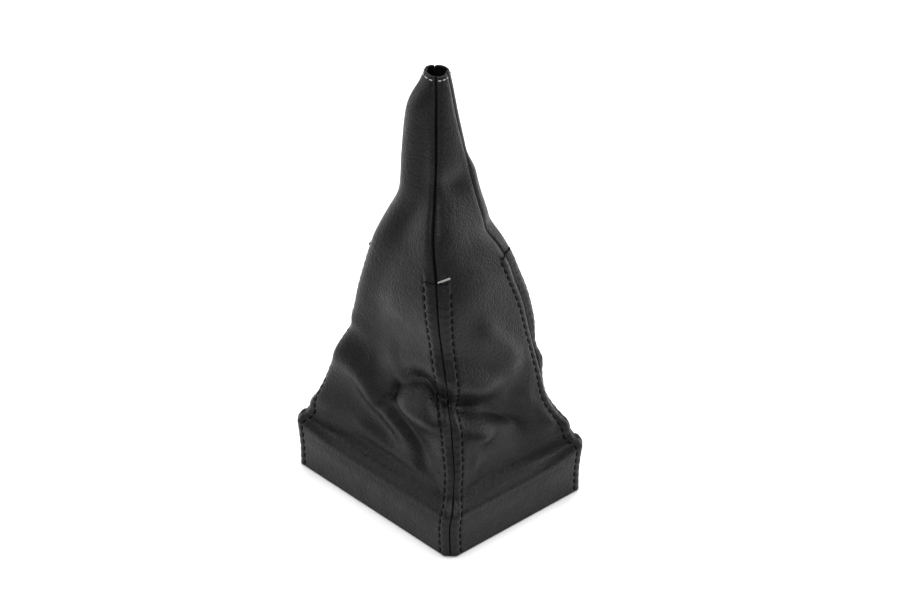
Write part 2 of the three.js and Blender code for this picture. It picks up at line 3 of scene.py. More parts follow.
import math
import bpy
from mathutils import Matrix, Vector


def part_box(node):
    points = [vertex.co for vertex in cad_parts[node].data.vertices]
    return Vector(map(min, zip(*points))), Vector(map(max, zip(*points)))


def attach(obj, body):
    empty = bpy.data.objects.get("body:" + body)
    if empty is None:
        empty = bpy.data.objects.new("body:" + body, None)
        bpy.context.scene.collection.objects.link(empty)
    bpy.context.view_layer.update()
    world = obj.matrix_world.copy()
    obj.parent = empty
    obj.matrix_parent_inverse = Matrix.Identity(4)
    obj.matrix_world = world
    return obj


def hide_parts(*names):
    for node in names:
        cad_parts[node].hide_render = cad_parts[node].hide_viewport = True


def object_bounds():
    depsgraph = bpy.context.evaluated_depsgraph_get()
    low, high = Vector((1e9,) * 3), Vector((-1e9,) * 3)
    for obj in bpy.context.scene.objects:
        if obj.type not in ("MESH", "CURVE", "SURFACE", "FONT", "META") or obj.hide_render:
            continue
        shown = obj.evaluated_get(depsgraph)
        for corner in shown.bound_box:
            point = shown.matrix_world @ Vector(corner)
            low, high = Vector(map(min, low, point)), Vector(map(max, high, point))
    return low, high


bl_info = {
    "name": "Gear Lever Gaiter",
    "version": (1, 0, 0),
    "blender": (4, 5, 0),
    "location": "View3D > Sidebar > Gaiter",
    "description": "Makes a gathered leatherette gear lever gaiter, its stitching and a studio stage",
    "category": "Add Mesh",
}

import bpy
import numpy as np
from bpy.props import FloatProperty, FloatVectorProperty, PointerProperty
from mathutils import Matrix, Vector

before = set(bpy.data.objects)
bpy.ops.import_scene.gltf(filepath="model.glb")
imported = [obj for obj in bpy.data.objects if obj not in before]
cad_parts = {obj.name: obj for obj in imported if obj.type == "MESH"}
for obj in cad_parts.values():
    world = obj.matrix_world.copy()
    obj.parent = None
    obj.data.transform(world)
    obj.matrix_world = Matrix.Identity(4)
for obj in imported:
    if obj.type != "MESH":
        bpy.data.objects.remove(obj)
CAD_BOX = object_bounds()
FRAME_LOW, FRAME_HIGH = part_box("base_frame")

# Two layers of leather and a clearance at both ends of the frame, in metres
HEM_ROUND_FRAME = 0.0046

MM = 0.001

# Sizes in millimetres that the sizes panel doesn't change
CLEARANCE = 0.3
SEAM_GAP = 0.004
FRAME_WALL = 2.0
HEM_HEIGHT = 12.0
HEM_BEND = 0.8
INNER_BEND = 0.15
RIM_HEM = 8.0
RIM_FOLD = 0.2
RIM_ROW = 1.9
ALLOWANCE = 10.5
ALLOWANCE_MIDDLE = 4.6
ALLOWANCE_SPREAD = 2.9
ALLOWANCE_RISE = 0.6
ALLOWANCE_RISE_AT_HOLES = 0.2
SKIRT_CORNER = 10.0

# A seam's groove: its radius beside the rows, above them and at the rim, and where it changes
OPEN_GROOVE = 1.1
PINCHED_GROOVE = 2.3
RIM_GROOVE = 1.2
PINCH_START = -2.0
PINCH_END = 6.0
RIM_TAPER = 32.0

# Stitches: space left at each hole, how far the ends sink in, and the widths of the dips they pull
STITCH_GAP = 0.7
STITCH_SINK = 0.3
HOLE_WIDTH = 1.1
DIMPLE_WIDTH = 0.8

# Bar tacks: height above the rows, and the start and end of each stitch from the seam
TACK_RISE = 0.4
TACK_STITCHES = ((0.9, 3.6), (3.9, 6.9))

# Loose thread end: distance from the seam and height above the rows at its ends, its arch and its lift
TAIL_ACROSS = (1.0, 7.6)
TAIL_RISE = (0.8, 3.0)
TAIL_ARCH = 0.4
TAIL_LIFT = 0.5

# Rim stitches: their thread as a share of the topstitching's, and their ends as shares across a panel
RIM_THREAD_SHARE = 0.62
RIM_STITCHES = ((0.14, 0.3), (0.4, 0.58), (0.68, 0.84))

# Thread: height over width, faces round it, and as shares of its radius how high its middle lies and how
# far the ends of a tack dive. The power sets how soon a stitch comes up out of its hole.
THREAD_FLATNESS = 0.8
THREAD_SIDES = 10
THREAD_REST = 0.75
TACK_DIVE = 1.4
STITCH_POWER = 0.45

# The corner seams, numbered anticlockwise from above, and the plan direction of each corner
NEAR, RIGHT, FAR, LEFT = 0, 1, 2, 3
CORNER_SIGNS = np.array([(1, -1), (1, 1), (-1, 1), (-1, -1)], float)
CORNER_NAMES = ("near", "right", "far", "left")

# name, seam it starts at, seam it ends at, outward direction, topstitch rows at its start and end
PANELS = (
    ("front_left", LEFT, NEAR, (0, -1), ("topstitch_left_front", "topstitch_near_left")),
    ("front_right", NEAR, RIGHT, (1, 0), ("topstitch_near_right", "topstitch_right_front")),
    ("back_right", RIGHT, FAR, (0, 1), ("topstitch_right_back", "topstitch_far_right")),
    ("back_left", FAR, LEFT, (-1, 0), ("topstitch_far_left", "topstitch_left_back")),
)

# Sections of the gaiter on a cloth 232 mm high over a 28 mm skirt. height is above the floor, along_x and
# along_y run from the rim's size, 0, to the base's, 1, shift moves the middle, corner is the reach of the
# corner's curve and crowns are how far the sides bow out, in the order of PANELS.
DRAWN_SKIRT = 28.0
DRAWN_CLOTH = 232.0
SECTIONS = (
    # height, along_x, along_y, shift_x, shift_y, corner, four crowns
    (0.0, 1.000, 1.000, 0.0, 0.0, SKIRT_CORNER, 0.0, 0.0, 0.0, 0.0),
    (12.0, 1.000, 1.000, 0.0, 0.0, SKIRT_CORNER, 0.0, 0.0, 0.0, 0.0),
    (22.0, 0.998, 0.998, 0.0, 0.0, SKIRT_CORNER, 0.0, 0.0, 0.0, 0.0),
    (26.4, 0.990, 0.988, 0.0, 0.0, SKIRT_CORNER, -0.6, -0.6, -0.6, -0.6),
    (28.2, 0.966, 0.958, 0.0, 0.0, SKIRT_CORNER, -2.0, -2.0, -2.0, -2.0),
    (29.6, 0.925, 0.908, 0.0, 0.0, 10.0, -3.5, -3.5, -3.5, -3.5),
    (32.4, 0.892, 0.876, 0.0, 0.0, 10.5, -4.5, -4.5, -4.5, -4.5),
    (37.0, 0.880, 0.868, 0.0, 0.0, 11.0, -4.8, -4.8, -4.8, -4.8),
    (46.0, 0.855, 0.850, 0.0, 0.0, 12.0, -4.0, -4.0, -4.0, -4.0),
    (60.0, 0.795, 0.785, -0.8, -1.0, 13.0, -1.5, -1.0, -1.0, -1.5),
    (78.0, 0.715, 0.735, -0.5, -0.8, 14.0, 1.0, 1.5, 1.5, 1.0),
    (100.0, 0.600, 0.670, 0.0, 0.5, 13.0, 2.5, 3.5, 3.5, 2.5),
    (125.0, 0.510, 0.605, 0.0, 0.5, 10.0, 4.0, 4.5, 4.5, 4.0),
    (150.0, 0.400, 0.460, -0.6, -0.4, 7.5, 4.5, 5.0, 5.0, 4.5),
    (172.0, 0.275, 0.325, -1.2, -1.0, 6.0, 3.5, 3.5, 3.5, 3.5),
    (190.0, 0.180, 0.225, -0.3, -0.3, 5.5, 2.0, 2.0, 2.0, 2.0),
    (212.0, 0.145, 0.155, -0.8, -0.8, 5.5, 1.8, 1.8, 1.8, 1.8),
    (236.0, 0.090, 0.075, -1.6, -1.2, 5.5, 1.8, 1.8, 1.8, 1.8),
    (252.0, 0.035, 0.025, -1.2, -1.0, 5.0, 1.4, 1.4, 1.4, 1.4),
    (260.0, 0.000, 0.000, -1.0, -0.6, 5.0, 1.0, 1.0, 1.0, 1.0),
)

# Soft swellings and hollows: seam, distance across the cloth from it (positive towards the next seam),
# height above the floor, half length, half width, angle of the length up from level, push out, push up
SWELLINGS = (
    (RIGHT, 0, 34, 18, 11, 0, 4.0, 7.0),
    (LEFT, 0, 34, 18, 11, 0, 3.5, 6.0),
    (FAR, 0, 31, 16, 9, 0, 4.0, 4.0),
    (NEAR, -34, 76, 14, 10, -12, 8.0, 0.0),
    (NEAR, -16, 76, 13, 10, 2, 9.0, 0.0),
    (NEAR, 4, 138, 30, 22, 0, 5.0, 3.0),
    (NEAR, 1, 174, 15, 20, 0, 4.5, 2.5),
    (NEAR, -36, 132, 18, 20, 0, 2.5, 0.0),
    (NEAR, -52, 48, 40, 9, -12, -3.5, 0.0),
    (NEAR, -30, 160, 24, 13, 14, 2.0, 0.0),
    (NEAR, -20, 184, 22, 9, 0, -0.8, 0.0),
    (NEAR, -70, 97, 16, 8, -10, -1.0, 0.0),
    (NEAR, 25, 64, 14, 8, -12, 7.5, 0.0),
    (NEAR, 20, 46, 6, 12, -10, 1.5, 0.0),
    (NEAR, 60, 62, 18, 12, -50, -5.0, 0.0),
    (NEAR, 12, 198, 13, 8, 0, -2.8, 0.0),
    (NEAR, 12, 172, 16, 9, 0, 1.5, 0.0),
    (RIGHT, -6, 160, 9, 7, 0, 1.0, 0.0),
    (RIGHT, 3, 165, 10, 6, 0, -2.5, 0.0),
    (RIGHT, 0, 146, 12, 8, 0, 1.5, 0.0),
    (FAR, -58, 52, 40, 9, -12, -3.5, 0.0),
    (FAR, 44, 50, 34, 9, 12, -3.0, 0.0),
    (NEAR, 0, 264, 10, 8, 0, 0.0, -1.6),
    (RIGHT, 0, 264, 8, 8, 0, 0.0, -1.2),
    (FAR, 0, 264, 10, 8, 0, 0.0, -1.2),
    (LEFT, 0, 264, 8, 8, 0, 0.0, -0.6),
)

# Creases and ridges along a line: seam, points as (across, height), half width, push out, push up
CREASES = (
    (NEAR, ((-59, 69), (-50, 63.5), (-39, 57), (-26, 50)), 8.0, -5.0, 0.0),
    (NEAR, ((-80, 79), (-70, 72), (-60, 63.5), (-48, 53), (-36, 44)), 10.0, 5.5, 1.5),
    (NEAR, ((-46, 90), (-32, 96), (-17, 100), (-4, 99), (8, 95), (20, 89.5), (34, 83)), 10.0, 6.5, 0.0),
    (NEAR, ((-80, 40), (-50, 37), (-16, 33)), 5.0, 1.5, 1.0),
    (NEAR, ((-78, 106), (-70, 104), (-62, 99)), 6.0, 1.0, 0.0),
    (NEAR, ((58, 70), (68, 58), (76, 44)), 6.0, 4.0, 0.0),
    (NEAR, ((28, 118), (40, 106), (52, 93)), 8.0, 3.5, 0.0),
    (RIGHT, ((5, 262), (6, 240), (8, 215)), 5.0, 2.0, 0.0),
    (RIGHT, ((9, 203), (11, 190), (12, 160), (12, 120), (12, 98)), 9.0, 6.0, 0.0),
    (LEFT, ((7, 246), (9, 223), (12, 180), (13, 150), (13, 110), (13, 78), (12, 44)), 9.0, 6.2, 0.0),
    (FAR, ((-50, 84), (-34, 92), (-12, 94), (6, 88), (26, 82)), 6.0, -7.0, 0.0),
    (FAR, ((-52, 96), (-34, 104), (-12, 106), (8, 100), (28, 93)), 10.0, 4.0, -3.0),
    (FAR, ((-88, 80), (-70, 72), (-48, 62), (-30, 52)), 8.0, 5.0, 1.5),
    (FAR, ((30, 54), (48, 60), (64, 67)), 7.0, 4.0, 1.0),
)
CREASE_STEP = 0.8

# Tucks, where the cloth hangs over and doubles back in: seam, points as (across, height, share of the
# depth), reach above, reach below, push out
TUCKS = (
    (NEAR, ((-64, 60, 0), (-57, 65, 0.4), (-52, 70, 0.65), (-46, 76, 0.8), (-37, 82, 1), (-27, 86, 1.1),
            (-17, 88, 1.1), (-10, 86, 0.95), (-4, 83.5, 0.75), (3, 80.5, 0.65), (8, 77, 0.85),
            (18, 73, 1.05), (32, 68, 1), (50, 60, 0.5), (64, 54, 0)), 17.0, 3.5, -13.0),
)
TUCK_BEND = 1.5

# Slide of the near seam to the right, along both sides of its corner, at heights on the drawn cloth
SLIDE_HEIGHTS = (0.0, 22.0, 30.0, 45.0, 68.0, 100.0, 125.0, 260.0)
SLIDES = (0.0, 0.0, 1.0, 2.0, 2.5, 1.2, 0.0, 0.0)

# Lean of each corner along the gaiter's width and the heights between which it grows, less where the
# gaiter is narrow: the right seam leans to the front and the left seam to the back
CORNER_LEANS = ((0.0, 60.0, 150.0), (-4.0, 60.0, 150.0), (0.0, 60.0, 150.0), (8.0, 34.0, 100.0))
LEAN_HALF_LENGTH = 22.0

# Steps used to find a slope, across as a share of the panel and up in millimetres
STEP_ACROSS = 0.001
STEP_UP = 0.3

# Grid of a panel: columns beside each seam and between, rows of the stitched part and above it
SEAM_ZONE = 10.0
SEAM_ZONE_SHARE = 0.33
SEAM_COLUMNS = 22
MIDDLE_COLUMNS = 70
STITCHED_ROWS = 270
PLAIN_ROWS = 90

# Reflection of the materials, 0.5 being that of plain plastic
LEATHER_SPECULAR = 0.18
THREAD_SPECULAR = 0.1

# Camera and lights
CAMERA_AZIMUTH = math.radians(47.3)
CAMERA_ELEVATION = math.radians(31.7)
CAMERA_DISTANCE = 1.724
CAMERA_SIDE = 0.0120
CAMERA_RISE = 0.0959
SENSOR_WIDTH = 36.0
PHOTO_WIDTH_PX = 920
FOCAL_LENGTH_PX = 3000


class GaiterShape(bpy.types.PropertyGroup):
    """Sizes of the gaiter."""

    base_length: FloatProperty(
        name="Base length",
        description="Length of the base over the leather",
        default=FRAME_HIGH.x - FRAME_LOW.x + HEM_ROUND_FRAME,
        min=0.1, max=0.2, unit="LENGTH",
    )
    base_width: FloatProperty(
        name="Base width",
        description="Width of the base over the leather",
        default=FRAME_HIGH.y - FRAME_LOW.y + HEM_ROUND_FRAME,
        min=0.08, max=0.16, unit="LENGTH",
    )
    total_height: FloatProperty(
        name="Height",
        description="Height from the floor to the rim",
        default=CAD_BOX[1].z,
        min=0.2, max=0.32, unit="LENGTH",
    )
    rim_length: FloatProperty(
        name="Rim length",
        description="Length of the narrow rim",
        default=0.0126,
        min=0.01, max=0.03, unit="LENGTH",
    )
    rim_width: FloatProperty(
        name="Rim width",
        description="Width of the narrow rim",
        default=0.0112,
        min=0.01, max=0.03, unit="LENGTH",
    )
    leather: FloatProperty(
        name="Leather",
        description="Thickness of one layer of leatherette",
        default=0.001,
        min=0.0006, max=0.0016, unit="LENGTH",
    )


class GaiterStitching(bpy.types.PropertyGroup):
    """Sizes of the sewing."""

    stitch: FloatProperty(
        name="Stitch",
        description="Length of one topstitch from hole to hole",
        default=0.0047,
        min=0.003, max=0.008, unit="LENGTH",
    )
    thread: FloatProperty(
        name="Thread",
        description="Diameter of the topstitching thread",
        default=0.0011,
        min=0.0004, max=0.0015, unit="LENGTH",
    )
    row_offset: FloatProperty(
        name="Row offset",
        description="Distance from a seam to the topstitching beside it",
        default=0.0081,
        min=0.003, max=0.0095, unit="LENGTH",
    )
    row_end: FloatProperty(
        name="Row end",
        description="Height above the floor at which the topstitching ends in a bar tack",
        default=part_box("bar_tack_near")[0].z - 0.002,
        min=0.1, max=0.2, unit="LENGTH",
    )
    dimple: FloatProperty(
        name="Dimple",
        description="How deep the thread pulls the leather in at a hole",
        default=0.0006,
        min=0.0, max=0.0015, unit="LENGTH",
    )


class GaiterFinish(bpy.types.PropertyGroup):
    """Colours and finishes."""

    leather_color: FloatVectorProperty(
        name="Leatherette",
        description="Colour of the leatherette",
        subtype="COLOR",
        default=(0.006, 0.006, 0.0064),
        min=0.0, max=1.0,
    )
    leather_roughness: FloatProperty(
        name="Leatherette roughness",
        description="Roughness of the leatherette between its pebbles",
        default=0.4,
        min=0.0, max=1.0, subtype="FACTOR",
    )
    grain: FloatProperty(
        name="Grain",
        description="Width of one pebble of the grain",
        default=0.0013,
        min=0.0008, max=0.004, unit="LENGTH",
    )
    black_thread: FloatVectorProperty(
        name="Black thread",
        description="Colour of the topstitching",
        subtype="COLOR",
        default=(0.002, 0.002, 0.0022),
        min=0.0, max=1.0,
    )
    pale_thread: FloatVectorProperty(
        name="Pale thread",
        description="Colour of the rim's stitching and the loose thread end",
        subtype="COLOR",
        default=(0.36, 0.352, 0.335),
        min=0.0, max=1.0,
    )


def smooth(low, high, x):
    """Goes from 0 at low to 1 at high on an S-curve."""
    share = np.clip((x - low) / (high - low), 0, 1)
    return share * share * (3 - 2 * share)


def curve(knots, values, at):
    """Smooth curve through values at knots, a cubic per span with slopes taken from the neighbours."""
    knots = np.asarray(knots, float)
    values = np.asarray(values, float)
    at = np.clip(at, knots[0], knots[-1])
    span = np.diff(knots)
    rise = np.diff(values) / span
    slope = np.empty_like(values)
    slope[1:-1] = (rise[:-1] * span[1:] + rise[1:] * span[:-1]) / (span[:-1] + span[1:])
    slope[0] = rise[0]
    slope[-1] = rise[-1]
    i = np.clip(np.searchsorted(knots, at, side="right") - 1, 0, len(knots) - 2)
    t = (at - knots[i]) / span[i]
    return (
        (1 + 2 * t) * (1 - t) ** 2 * values[i]
        + t * (1 - t) ** 2 * span[i] * slope[i]
        + t * t * (3 - 2 * t) * values[i + 1]
        + t * t * (t - 1) * span[i] * slope[i + 1]
    )


def unit(vectors):
    """Vectors scaled to length 1."""
    length = np.linalg.norm(vectors, axis=-1, keepdims=True)
    return vectors / np.maximum(length, 1e-9)


class Cloth:
    """The gaiter's cloth in millimetres: functions of a panel, the share s across it and the path v up."""

    def __init__(self, shape, stitching):
        self.leather = shape.leather / MM
        self.height = shape.total_height / MM
        self.pitch = stitching.stitch / MM
        self.thread_radius = stitching.thread / MM / 2
        self.row_offset = stitching.row_offset / MM
        self.row_end = stitching.row_end / MM
        self.dimple = stitching.dimple / MM
        self.unit = (self.height - DRAWN_SKIRT) / DRAWN_CLOTH
        table = np.array(SECTIONS)
        rim_x = shape.rim_length / MM / 2
        rim_y = shape.rim_width / MM / 2
        drawn = table[:, 0]
        above = np.maximum(drawn - DRAWN_SKIRT, 0) * self.unit
        self.tracks = {
            "drawn": drawn,
            "z": np.minimum(drawn, DRAWN_SKIRT) + above,
            "half_x": rim_x + table[:, 1] * (shape.base_length / MM / 2 - rim_x),
            "half_y": rim_y + table[:, 2] * (shape.base_width / MM / 2 - rim_y),
            "shift_x": table[:, 3],
            "shift_y": table[:, 4],
            "corner": table[:, 5],
        }
        self.tracks.update({f"crown_{side}": table[:, 6 + side] for side in range(4)})
        steps = [np.diff(self.tracks[name]) for name in ("z", "half_x", "half_y")]
        self.path = np.concatenate([[0], np.cumsum(np.sqrt(sum(step**2 for step in steps)))])
        self.end = self.path[-1]
        self.skirt_start = self.path_at(HEM_BEND)
        self.row_top = self.path_at(self.row_end)
        self.rows = {}
        for side in range(4):
            for end in (0, 1):
                self.rows[side, end] = self.row_run(side, end)

    def track(self, name, v):
        """One of the section's values at path v."""
        return curve(self.path, self.tracks[name], v)

    def path_at(self, z):
        """Path value whose section lies at height z: heights rise all the way up."""
        v = np.linspace(0, self.end, 4000)
        return float(np.interp(z, self.track("z", v), v))

    def section(self, side, v):
        """All of the section's values at path v for one panel."""
        values = {name: self.track(name, v) for name in self.tracks if not name.startswith("crown")}
        values["crown"] = self.track(f"crown_{side}", v)
        return values

    def plan(self, side, s, section):
        """Place in plan on a straight side between two corners, bowed by the crown and cut at each corner
        by a parabola that starts at the corner's reach, with the side's length."""
        _, start, finish, outward, _ = PANELS[side]
        narrow = np.minimum(1, section["half_x"] / LEAN_HALF_LENGTH)
        leans = []
        for corner in (start, finish):
            slide, low, high = CORNER_LEANS[corner]
            leans.append(slide * narrow * smooth(low, high, section["drawn"]))
        slide = curve(SLIDE_HEIGHTS, SLIDES, section["drawn"])
        half = (section["half_x"], section["half_y"])
        shift = (section["shift_x"], section["shift_y"])
        length = 2 * half[side % 2] + 0 * s
        bow = section["crown"] * 4 * s * (1 - s)
        reach = section["corner"]
        place = []
        for k in (0, 1):
            a = shift[k] + CORNER_SIGNS[start][k] * half[k] + k * leans[0]
            b = shift[k] + CORNER_SIGNS[finish][k] * half[k] + k * leans[1]
            a = a + slide * (start == NEAR)
            b = b + slide * (finish == NEAR)
            along = (CORNER_SIGNS[finish][k] - CORNER_SIGNS[start][k]) / 2
            p = a + (b - a) * s + outward[k] * bow
            for distance, sign in ((s * length, 1), ((1 - s) * length, -1)):
                cut = np.maximum(reach - distance, 0) ** 2 / (4 * reach)
                p = p + cut * (sign * along - outward[k])
            place.append(p)
        return place[0], place[1], length

    def folds(self, side, s, length, drawn):
        """Push of the folds out and up: bell-shaped swellings, and creases as chains of round bells whose
        sum is even along the line and fades past its ends. A tuck falls off exponentially on each side."""
        _, start, finish, _, _ = PANELS[side]
        across = {start: s * length / self.unit, finish: -(1 - s) * length / self.unit}
        out = np.zeros(np.broadcast(s, drawn).shape)
        up = np.zeros_like(out)
        for seam, middle, height, half_length, half_width, angle, push_out, push_up in SWELLINGS:
            if seam not in across:
                continue
            turn = math.radians(angle)
            du = across[seam] - middle
            dz = drawn - height
            along = (du * math.cos(turn) + dz * math.sin(turn)) / half_length
            over = (dz * math.cos(turn) - du * math.sin(turn)) / half_width
            weight = np.exp(-(along**2) - over**2)
            out += push_out * weight
            up += push_up * weight
        for seam, line, width, push_out, push_up in CREASES:
            if seam not in across:
                continue
            points = np.array(line, float)
            run = np.concatenate([[0], np.cumsum(np.linalg.norm(np.diff(points, axis=0), axis=1))])
            places = np.linspace(0, run[-1], int(run[-1] / (CREASE_STEP * width)) + 2)
            weight = np.zeros_like(out)
            for middle, height in zip(curve(run, points[:, 0], places), curve(run, points[:, 1], places)):
                weight += np.exp(-((across[seam] - middle) ** 2 + (drawn - height) ** 2) / width**2)
            weight *= places[1] / (width * math.sqrt(math.pi))
            out += push_out * weight
            up += push_up * weight
        for seam, line, above, below, push_out in TUCKS:
            if seam not in across:
                continue
            points = np.array(line, float)
            distance = drawn - curve(points[:, 0], points[:, 1], across[seam])
            reach = np.where(distance > 0, above, below)
            fall = np.exp((TUCK_BEND - np.sqrt(distance**2 + TUCK_BEND**2)) / reach)
            out += push_out * fall * np.clip(curve(points[:, 0], points[:, 2], across[seam]), 0, 1)
        return out * self.unit, up * self.unit

    def surface(self, side, s, v):
        """Points of the cloth before its seams are pressed in: the section's outline, pushed away from its
        middle and up by the folds."""
        section = self.section(side, v)
        x, y, length = self.plan(side, s, section)
        out, up = self.folds(side, s, length, section["drawn"])
        away_x = x - section["shift_x"]
        away_y = y - section["shift_y"]
        away = np.maximum(np.hypot(away_x, away_y), 1e-6)
        z = section["z"] + 0 * s
        return np.stack([x + out * away_x / away, y + out * away_y / away, z + up], -1)

    def length(self, side, v):
        """Length of a panel's straight side at path v."""
        return 2 * self.track("half_x" if side % 2 == 0 else "half_y", v)

    def normal(self, side, s, v):
        """Outward normal: the cross product of the slopes across and up."""
        right = self.surface(side, np.clip(s + STEP_ACROSS, 0, 1), v)
        left = self.surface(side, np.clip(s - STEP_ACROSS, 0, 1), v)
        over = self.surface(side, s, np.clip(v + STEP_UP, 0, self.end))
        under = self.surface(side, s, np.clip(v - STEP_UP, 0, self.end))
        return unit(np.cross(right - left, over - under))

    def seam_normal(self, seam, v):
        """The normal that the two panels share at a seam: the middle of theirs."""
        before = next(i for i, panel in enumerate(PANELS) if panel[2] == seam)
        after = next(i for i, panel in enumerate(PANELS) if panel[1] == seam)
        return unit(self.normal(before, np.ones_like(v), v) + self.normal(after, np.zeros_like(v), v))

    def row_share(self, side, end, v, offset):
        """Share s of a line that keeps a distance from the seam at the panel's start (0) or end (1)."""
        share = offset / self.length(side, v)
        return share if end == 0 else 1 - share

    def row_run(self, side, end):
        """Path values along a topstitch row, with the length of thread up to each."""
        v = np.linspace(self.skirt_start, self.row_top, 1200)
        points = self.surface(side, self.row_share(side, end, v, self.row_offset), v)
        steps = np.linalg.norm(np.diff(points, axis=0), axis=1)
        return v, np.concatenate([[0], np.cumsum(steps)])

    def stitch_wave(self, side, end, v):
        """1 where two stitches of a row meet, 0 along them: a bell of the distance to the nearest hole."""
        known, run = self.rows[side, end]
        phase = np.interp(v, known, run) / self.pitch
        distance = np.abs(phase - np.round(phase)) * self.pitch
        return np.exp(-((distance / HOLE_WIDTH) ** 2))

    def depth(self, side, end, distance, v):
        """How far the outer face lies under the cloth: a quarter round into the seam, a raised strip over
        the allowance, and a dip under each topstitch that is shallow where two stitches meet."""
        z = self.track("z", v)
        pinched = smooth(self.row_end + PINCH_START, self.row_end + PINCH_END, z)
        near_rim = smooth(self.height - RIM_TAPER, self.height, z)
        full = PINCHED_GROOVE + (RIM_GROOVE - PINCHED_GROOVE) * near_rim
        groove = OPEN_GROOVE + (full - OPEN_GROOVE) * pinched
        within = np.clip(1 - distance / groove, 0, 1)
        roll = groove * (1 - np.sqrt(1 - within**2))
        meeting = self.stitch_wave(side, end, v)
        rise = ALLOWANCE_RISE + ALLOWANCE_RISE_AT_HOLES * meeting
        raised = rise * np.exp(-(((distance - ALLOWANCE_MIDDLE) / ALLOWANCE_SPREAD) ** 2))
        dip = self.dimple * (1.25 - meeting)
        row = dip * np.exp(-(((distance - self.row_offset) / DIMPLE_WIDTH) ** 2))
        return roll + (1 - pinched) * (row - raised)

    def faces(self, side, s, v):
        """Outer and inner face of the leather and the normal, for a grid of s by rows of v. The inner
        face is one layer in, or two at the allowances, and thinner at the rim's pressed hem. The edges
        stop short of the seams."""
        _, start, finish, _, _ = PANELS[side]
        place = self.surface(side, s, v)
        normal = self.normal(side, s, v)
        length = self.length(side, v)
        z = self.track("z", v)
        depth = np.zeros(s.shape)
        for end, (seam, distance) in enumerate(((start, s * length), (finish, (1 - s) * length))):
            share = 1 - smooth(0, 5, distance)[..., None]
            normal = normal * (1 - share) + self.seam_normal(seam, v) * share
            depth = depth + self.depth(side, end, distance, v)
        normal = unit(normal)
        nearest = np.minimum(s, 1 - s) * length
        allowance = 1 - smooth(ALLOWANCE - 1, ALLOWANCE + 1, nearest)
        hem = smooth(self.height - RIM_HEM - 1, self.height - RIM_HEM + 1, z)
        layers = 1 + allowance * (1 - hem) + RIM_FOLD * hem
        inner_depth = np.maximum(self.leather * layers, depth + (0.8 - 0.4 * hem) * self.leather)
        outer = place - normal * depth[..., None]
        inner = place - normal * inner_depth[..., None]
        for column, inside in ((0, 0.02), (-1, 0.98)):
            edge = place[:, column]
            at = v[:, 0]
            toward = self.surface(side, np.full_like(at, inside), at) - edge
            toward = toward - normal[:, column] * (toward * normal[:, column]).sum(-1, keepdims=True)
            outer[:, column] += unit(toward) * SEAM_GAP
            inner[:, column] += unit(toward) * SEAM_GAP
        return outer, inner, normal

    def hem_points(self, side, s, inset, z):
        """Points of the turned-in hem: the base outline stepped in by inset, at height z."""
        section = self.section(side, np.zeros_like(inset))
        section["half_x"] = section["half_x"] - inset
        section["half_y"] = section["half_y"] - inset
        section["corner"] = np.maximum(section["corner"] - 0.6 * inset, 3)
        x, y, _ = self.plan(side, s, section)
        points = np.stack([x, y, z + 0 * x], -1)
        _, start, finish, _, _ = PANELS[side]
        along = (CORNER_SIGNS[finish] - CORNER_SIGNS[start]) / 2
        for column, seam, sign in ((0, start, 1), (-1, finish, -1)):
            mitre = CORNER_SIGNS[seam]
            away = np.array([mitre[1], -mitre[0]]) / math.sqrt(2)
            if away @ along * sign < 0:
                away = -away
            points[:, column, :2] += away * SEAM_GAP
        return points


def panel_columns(cloth, side, v):
    """Shares across a panel for each row: close together beside each seam, and even between."""
    length = cloth.length(side, v)
    edge = np.minimum(SEAM_ZONE / length, SEAM_ZONE_SHARE)
    zone = np.linspace(0, 1, SEAM_COLUMNS + 1)[:-1]
    middle = np.linspace(0, 1, MIDDLE_COLUMNS)
    return np.concatenate([edge * zone, edge + (1 - 2 * edge) * middle, 1 - edge * zone[::-1]], axis=1)


def hem_profile(leather, outer):
    """Inset and height down the hem's flap, round its bend, under the frame and up to the skirt's face."""
    flap = 2 * leather + 2 * CLEARANCE + FRAME_WALL
    quarter = np.radians(np.linspace(0, 90, 5))
    if outer:
        far, low, bend, near = flap + leather, 0.0, HEM_BEND, 0.0
    else:
        far, low, bend, near = flap, leather, INNER_BEND, 2 * leather
    down = np.linspace(HEM_HEIGHT, low + bend, 4)[:-1]
    across = np.linspace(far - bend, near + bend, 7)[1:-1]
    turn_in = far - bend + bend * np.cos(quarter)
    turn_down = low + bend - bend * np.sin(quarter)
    inset = np.concatenate([np.full(3, far), turn_in, across, near + bend - bend * np.sin(quarter[:-1])])
    z = np.concatenate([down, turn_down, np.full(5, low), low + bend - bend * np.cos(quarter[:-1])])
    return inset[:, None], z[:, None]


def panel_grids(cloth, side):
    """Outer and inner grid of a panel: hem, skirt, cloth and the round over the rim."""
    stitched = np.linspace(cloth.skirt_start, cloth.row_top, STITCHED_ROWS)
    plain = np.linspace(cloth.row_top, cloth.end, PLAIN_ROWS)[1:]
    v = np.concatenate([stitched, plain])[:, None]
    s = panel_columns(cloth, side, v)
    outer, inner, _ = cloth.faces(side, s, v)
    hems = []
    for outside in (True, False):
        inset, z = hem_profile(cloth.leather, outside)
        hems.append(cloth.hem_points(side, np.repeat(s[:1], len(inset), axis=0), inset, z))
    wall = outer[-1] - inner[-1]
    rise = unit(outer[-1] - outer[-2])
    middle = (outer[-1] + inner[-1]) / 2
    radius = np.linalg.norm(wall, axis=-1, keepdims=True) / 2
    angles = np.radians(np.linspace(0, 90, 5)[1:])[:, None, None]
    lift = rise * radius * np.sin(angles)
    round_outer = middle + wall / 2 * np.cos(angles) + lift
    round_inner = middle - wall / 2 * np.cos(angles) + lift
    outer = np.concatenate([hems[0], outer, round_outer])
    inner = np.concatenate([hems[1], inner, round_inner[:-1], round_outer[-1:]])
    return outer, inner


